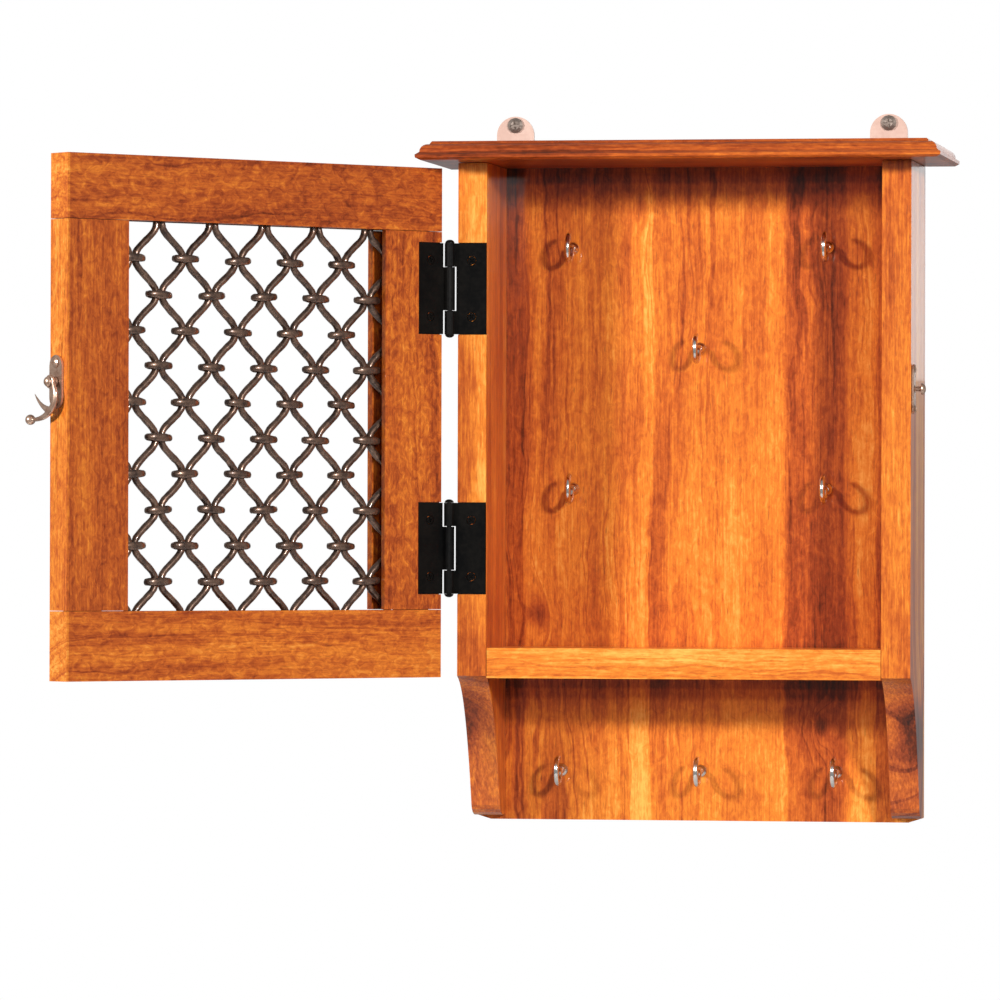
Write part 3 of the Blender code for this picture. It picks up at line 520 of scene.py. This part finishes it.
def board_woods():
    """Each board's wood: the grain runs along it, and its streaks and knots follow the photo's.

    The back panel's ends aren't figure: they are darker bands that deepen the shadows under the top board and
    the shelf, and they show on the panel's back as well.
    """
    x_axis, y_axis = Vector((1, 0, 0)), Vector((0, 1, 0))
    free_edge = (AXIS.dot(DOOR_ALONG) + DOOR_EDGE) / MM
    painted_lit_edge = (free_edge, 1.4, -0.16)        # painted light: a paler stripe along the door's free edge, which faces the left key
    return {
        "top_board": wood("wood_top", x_axis, y_axis, 3.1, tone=0.50, contrast=0.8, figure=0.35),
        "side_left": wood(
            "wood_side_left", UP, x_axis, 14.2, tone=0.66, contrast=0.9, pith=(-95, -150), ring=70,
            figure=0.35, knots=((-128, -122, 16, 0.42),)),
        # The right side's darker stripe across the grain, low on the wing, is partly painted shade where the
        # wing's front faces down and partly dark grain
        "side_right": wood(
            "wood_side_right", UP, x_axis, 27.5, tone=0.72, contrast=0.85, pith=(160, 60), ring=75,
            figure=0.35, knots=((-132, 121, 18, 0.5),), ends=((-150, 38, 0.14),)),
        "back_panel": wood(
            "wood_back", UP, x_axis, 41.0, tone=0.72, contrast=0.85, pith=(30, 40), ring=120, figure=0.5,
            grit=0.38,
            # Of the back panel's bands, the one at -92 mm is painted shade where the left side board shades the
            # panel, the two at -104 and 104 mm darken the panel along both inner corners, and the others are
            # dark grain
            bands=((65, 17, 0.22), (-92, 24, 0.10), (-104, 6, 0.18), (104, 5, 0.16), (-42, 3, 0.08),
                   (-22, 5, 0.10)),
            knots=((-66, -88, 8, 0.35), (-128, 66, 6, 0.3), (160, -34, 6, 0.25)),
            # Painted shade: darker bands under the top board (182 mm) and under the shelf (-101 mm)
            ends=((182, 9, 0.14), (182, 15, 0.12), (182, 23, 0.06), (-101, 7, 0.12), (-101, 13, 0.12),
                  (-101, 20, 0.06))),
        "bottom_shelf": wood(
            "wood_shelf", x_axis, UP, 55.3, tone=0.77, contrast=0.65, ring=150, figure=0.4, grit=0.45),
        "door_rail_top": wood(
            "wood_rail_top", DOOR_ALONG, UP, 63.9, tone=0.56, contrast=0.65, figure=0.95, grit=0.3,
            pith=(20, 30), knots=((135, 163, 13, 0.12),), ends=(painted_lit_edge,)),
        "door_rail_bottom": wood(
            "wood_rail_bottom", DOOR_ALONG, UP, 72.4, tone=0.61, contrast=0.7, figure=0.85, grit=0.35,
            pith=(-140, 30), ring=110, ends=(painted_lit_edge,)),
        "door_stile_hinge": wood(
            "wood_stile_hinge", UP, DOOR_ALONG, 88.6, tone=0.55, contrast=0.6, figure=1.05, grit=0.3),
        "door_stile_latch": wood(
            "wood_stile_latch", UP, DOOR_ALONG, 97.2, tone=0.57, contrast=0.75, figure=0.75, grit=0.4,
            pith=(300, 60), ring=80, bands=(painted_lit_edge,)),
    }


def make_boards():
    arris = {"top_board": 0.3 * MM, "side_left": 1.0 * MM, "side_right": 1.0 * MM}
    for node, material in board_woods().items():
        dress(node, material, width=arris.get(node, 0.8 * MM), segments=3)


# ---------------------------------------------------------------- lattice

def door_point(along, depth, z):
    """A point of the door: along from the hinge axis, depth behind the inner face."""
    return DOOR @ Vector((along, -DOOR_FACE - depth, z))


def column_at(column):
    return OPENING_FREE - FIRST_COLUMN - COLUMN_PITCH * (column - 1)


def row_at(row):
    return OPENING_TOP - FIRST_ROW_DROP - ROW_PITCH * row


# A wire's wave between two rows: part of the row, part of the way to the other column
WAVE = ((-0.10, 0.0), (0.10, 0.0), (0.28, 0.15), (0.5, 0.5), (0.72, 0.85))


def strand_path(index, chance):
    """A wire's wave through its nodes, with the small unevenness of hand bending."""
    points = []
    for row in range(-1, ROWS + 1):
        at_own = (index - row) % 2 == 0
        here = column_at(index) - WIRE_CLEAR if at_own else column_at(index + 1) + WIRE_CLEAR
        there = column_at(index + 1) + WIRE_CLEAR if at_own else column_at(index) - WIRE_CLEAR
        for part, move in WAVE:
            wobble = chance.uniform(-0.22, 0.22) * MM if 0.2 < part < 0.8 else 0
            depth = LATTICE_DEPTH + chance.uniform(-0.12, 0.12) * MM
            points.append((here + move * (there - here) + wobble, depth, row_at(row) - part * ROW_PITCH))
    top, bottom = OPENING_TOP + WIRE_END, OPENING_BOTTOM - WIRE_END
    points = [point for point in points if bottom < point[2] < top]
    return smooth_path([door_point(*point) for point in points], 3)


def clip_link(shape, column, row, chance):
    """The forged link round a node: a flattened ring, seen as a long oval bead."""
    half = CLIP_HALF + chance.uniform(-0.4, 0.4) * MM
    path, radii = [], []
    for angle in turn(28):
        along = math.copysign(abs(math.cos(angle)) ** 0.7, math.cos(angle))
        path.append((half * along, CLIP_HALF_DEPTH * math.sin(angle)))
        radii.append((0.42 + 0.62 * math.sqrt(1 - 0.97 * along * along) + chance.uniform(-0.07, 0.07)) * MM)
    centre_x, centre_z = column_at(column), row_at(row) + chance.uniform(-0.3, 0.3) * MM
    tilt = chance.uniform(-0.06, 0.06)
    path = [door_point(centre_x + x, LATTICE_DEPTH + y, centre_z + tilt * x) for x, y in path]
    sweep(shape, path, radii, squash=2.15, side_axis=UP, closed=True)


def make_lattice(iron):
    chance = random.Random(7)
    for index in range(WIRES):
        shape = bmesh.new()
        path = strand_path(index, chance)
        radii = [WIRE_RADIUS * (1 + chance.uniform(-0.07, 0.05)) for _ in path]
        sweep(shape, path, radii)
        for row in range(1, ROWS):
            if index > 0 and (index - row) % 2 == 0:
                clip_link(shape, index, row, chance)
        number = f"{index + 1:02d}"
        piece(f"lattice_strand_{number}", shape, iron, "door", (f"lattice_wire_{number}",), smooth=60)


# ---------------------------------------------------------------- ironmongery

def make_hinges(black):
    for level in ("upper", "lower"):
        for leaf in ("case", "door"):
            dress(f"hinge_{level}_{leaf}_leaf", black, width=0.25 * MM)
            for word in ("top", "bottom"):
                dress(f"hinge_{level}_{leaf}_screw_{word}", black, width=0.12 * MM)
        low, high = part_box(f"hinge_{level}_pin")
        middle, half = (low[2] + high[2]) / 2, (high[2] - low[2]) / 2 - 0.25 * MM
        profile = [(radius, half + height) for radius, height in in_metres(PIN_CAP)]
        profile += [(radius, -height) for radius, height in reversed(profile)]
        shape = bmesh.new()
        lathe(shape, profile, Matrix.Translation((AXIS.x, AXIS.y, middle)), steps=24)
        piece(f"hinge_{level}_pin_rod", shape, black, "cabinet", (f"hinge_{level}_pin",))


def door_edge_frame():
    """At the latch pivot, on the door's free edge: X points out of the door, Y up and Z off the edge."""
    origin = door_point(DOOR_EDGE, LATCH_DEPTH, LATCH_Z)
    turned = Matrix((DOOR_OUT, UP, DOOR_ALONG)).transposed()
    return Matrix.Translation(origin) @ turned.to_4x4()


def hook_shape(edge):
    """The swan hook's neck, beak, eye and ball."""
    shape = bmesh.new()
    steps = 4

    def at(out, up):
        return edge @ Vector((out * MM, up * MM, HOOK_OFFSET))

    for points, widths, flatness in ((NECK, NECK_WIDTHS, NECK_FLATNESS), (BEAK, BEAK_WIDTHS, BEAK_FLATNESS)):
        path = smooth_path([at(*point) for point in points], steps)
        radii = []
        for index in range(len(path)):
            first = min(index // steps, len(widths) - 2)
            part = index / steps - first
            radii.append((widths[first] + (widths[first + 1] - widths[first]) * part) * MM)
        sweep(shape, path, radii, sides=14, squash=flatness, side_axis=DOOR_ALONG)
    eye = [at(EYE_RADIUS * math.cos(angle), EYE_RADIUS * math.sin(angle)) for angle in turn(20)]
    sweep(shape, eye, [EYE_WIRE * MM] * len(eye), sides=10, squash=EYE_FLATNESS, side_axis=DOOR_ALONG,
          closed=True)
    arc = [math.pi * step / 16 for step in range(1, 16)]
    ball = [(BALL_RADIUS * math.sin(angle), BALL_RADIUS * math.cos(angle)) for angle in arc]
    ball = [(0, BALL_RADIUS), *ball, (0, -BALL_RADIUS)]
    lathe(shape, in_metres(ball), Matrix.Translation(at(*BALL)) @ edge.to_3x3().to_4x4(), steps=28)
    return shape


def make_latch(brass):
    edge = door_edge_frame()
    hook = piece("latch_swan_hook", hook_shape(edge), brass, "latch", ("latch_hook",), smooth=180)
    join = hook.modifiers.new("join", "REMESH")
    join.mode = "VOXEL"
    join.voxel_size = 0.32 * MM
    join.use_smooth_shade = True
    soften = hook.modifiers.new("soften", "SMOOTH")
    soften.factor = 0.5
    soften.iterations = 5

    shape = bmesh.new()
    lathe(shape, in_metres(STUD), edge)
    piece("latch_pivot_stud", shape, brass, "door", ("latch_pivot",))
    dress("latch_plate", brass, width=0.3 * MM)
    for word in ("top", "bottom"):
        dress(f"latch_screw_{word}", brass, width=0.2 * MM)


def make_catch(brass):
    shape = bmesh.new()
    lathe(shape, in_metres(PEG), facing((SIDE_X, PEG_Y, LATCH_Z), (1, 0, 0)))
    piece("catch_peg_turned", shape, brass, "cabinet", ("catch_peg",))
    dress("catch_plate", brass, width=0.25 * MM)
    for word in ("top", "bottom"):
        dress(f"catch_screw_{word}", brass, width=0.15 * MM)


def make_cup_hooks(nickel):
    for node in [name for name in frame["nodes"] if name.startswith("cup_hook")]:
        low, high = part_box(node)
        x = (low[0] + high[0]) / 2
        z = low[2] + RING_RADIUS + RING_WIRE
        y = PANEL_Y - FOOT_GAP - RING_REACH
        neck = y + RING_RADIUS
        path = [(x, PANEL_Y - 0.4 * MM, z), (x, neck + 4 * MM, z), (x, neck + 2.2 * MM, z)]
        steps = 44
        for step in range(1, steps + 1):
            angle = math.pi + RING_SWEEP * step / steps
            path.append((x, y - RING_RADIUS * math.cos(angle), z + RING_RADIUS * math.sin(angle)))
        # The wire thins over the last fifth
        radii = [RING_WIRE * (1.0 - 1.1 * max(0.0, index / len(path) - 0.8)) for index in range(len(path))]
        shape = bmesh.new()
        sweep(shape, path, radii, sides=14)
        lathe(shape, in_metres(COLLAR), facing((x, PANEL_Y - FOOT_GAP, z), (0, -1, 0)), steps=28)
        piece(node + "_bright", shape, nickel, "cabinet", (node,), smooth=50)


def make_tabs(enamel, zinc):
    for word in ("left", "right"):
        dress(f"hanging_tab_{word}", enamel, width=0.35 * MM, segments=3, angle=30)
        dress(f"wall_screw_{word}", zinc, width=0.25 * MM)


# ---------------------------------------------------------------- floor, light and camera

def make_floor():
    shape = bmesh.new()
    bmesh.ops.create_circle(shape, cap_ends=True, segments=96, radius=FLOOR_RADIUS)
    mesh = bpy.data.meshes.new("floor")
    shape.to_mesh(mesh)
    shape.free()
    floor = bpy.data.objects.new("floor", mesh)
    bpy.context.scene.collection.objects.link(floor)
    floor.location = (0, 0, FLOOR_Z)
    s = Shade("floor")
    place = s.node("ShaderNodeTexCoord").outputs["Object"]
    cloud = s.noise(place, 3.0, detail=3.0)
    shade = s.mix(cloud, (0.86, 0.86, 0.86), (0.91, 0.91, 0.91))
    mesh.materials.append(s.finish(Base_Color=shade, Roughness=0.7))


def make_softbox(name, place, size, power):
    data = bpy.data.lights.new(name, "AREA")
    data.shape = "RECTANGLE"
    data.size, data.size_y = size
    data.energy = power
    lamp = bpy.data.objects.new(name, data)
    bpy.context.scene.collection.objects.link(lamp)
    lamp.location = place
    lamp.rotation_euler = (Vector(LIGHT_TARGET) - Vector(place)).to_track_quat("-Z", "Y").to_euler()


def make_world():
    """White for the camera, and dim for what lights the object."""
    world = bpy.data.worlds.new("studio")
    bpy.context.scene.world = world
    world.use_nodes = True
    tree = world.node_tree
    ground = tree.nodes["Background"]
    ground.inputs["Color"].default_value = (1, 1, 1, 1)
    path = tree.nodes.new("ShaderNodeLightPath")
    level = tree.nodes.new("ShaderNodeMapRange")
    level.inputs["To Min"].default_value = WORLD_FILL
    level.inputs["To Max"].default_value = WORLD_BACKDROP
    tree.links.new(path.outputs["Is Camera Ray"], level.inputs["Value"])
    shine = tree.nodes.new("ShaderNodeMath")
    shine.operation = "MULTIPLY_ADD"
    shine.inputs[1].default_value = WORLD_SHINE
    tree.links.new(path.outputs["Is Glossy Ray"], shine.inputs[0])
    tree.links.new(level.outputs["Result"], shine.inputs[2])
    tree.links.new(shine.outputs["Value"], ground.inputs["Strength"])


def make_light():
    for light in LIGHTS:
        make_softbox(*light)
    make_world()
    view = bpy.context.scene.view_settings
    view.view_transform = "Standard"
    view.look = "None"


def make_camera():
    data = bpy.data.cameras.new("camera")
    data.sensor_width = 36
    data.lens = CAMERA_LENS
    camera = bpy.data.objects.new("camera", data)
    bpy.context.scene.collection.objects.link(camera)
    camera.location = CAMERA_PLACE
    camera.rotation_euler = [math.radians(angle) for angle in CAMERA_TURN]
    bpy.context.scene.camera = camera


make_boards()
make_lattice(browned_iron())
make_hinges(black_lacquer())
antique = antique_plate()
make_latch(antique)
make_catch(antique)
make_cup_hooks(bright_nickel())
make_tabs(tab_enamel(), dull_zinc())
make_floor()
make_light()
make_camera()
